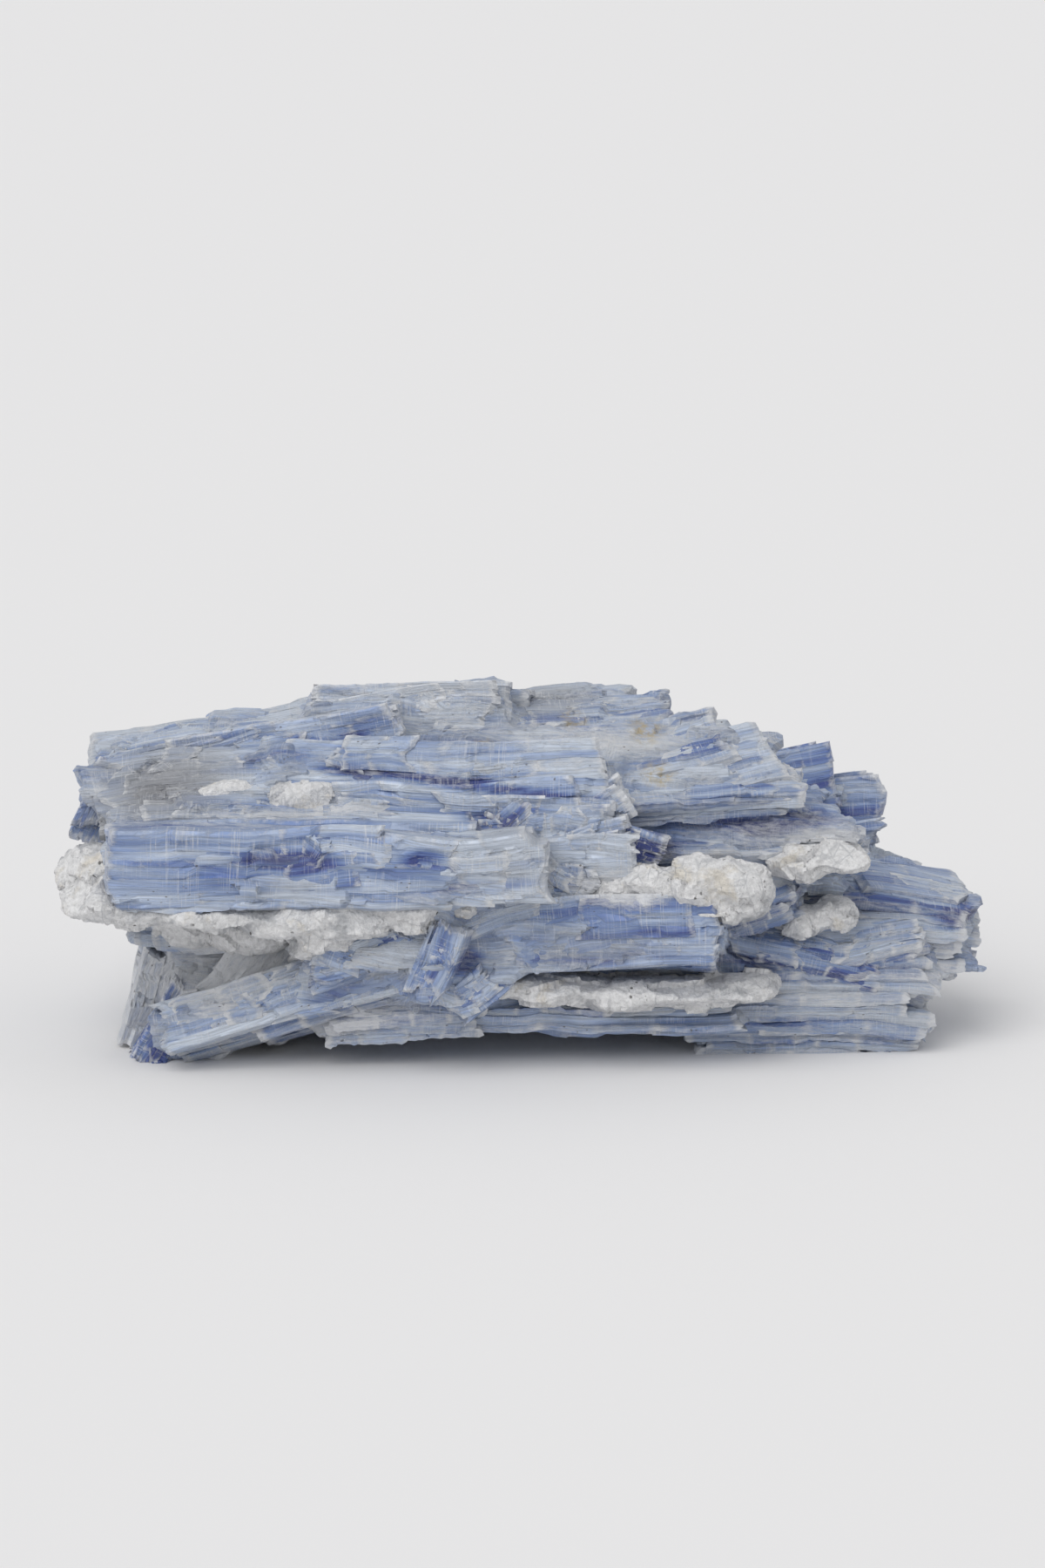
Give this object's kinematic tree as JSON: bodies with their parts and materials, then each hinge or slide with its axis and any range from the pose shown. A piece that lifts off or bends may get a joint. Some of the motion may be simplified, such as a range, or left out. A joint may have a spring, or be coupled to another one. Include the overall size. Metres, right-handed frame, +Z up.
{
  "type": "kyanite blade cluster",
  "caption": "Free-lying mineral specimen: long flat blue kyanite blades grown together in fanning sheaves, with white quartz in the hollows between them.",
  "frame": {"origin": "on the ground under the middle of the cluster's box", "axes": "+X along the cluster towards its fanned right end, -Y its front, +Z up"},
  "size_m": [0.1112, 0.0492, 0.0415],
  "materials": {
    "kyanite": "satin",
    "quartz": "satin"
  },
  "bodies": {
    "root": {"kyanite_blades": "kyanite", "quartz_left_tip": "quartz", "quartz_front_band": "quartz", "quartz_recess_lump": "quartz", "quartz_upper_patch": "quartz", "quartz_centre_lump": "quartz", "quartz_ledge_lens": "quartz", "quartz_right_dome": "quartz", "quartz_base_seam": "quartz"}
  },
  "joints": []
}
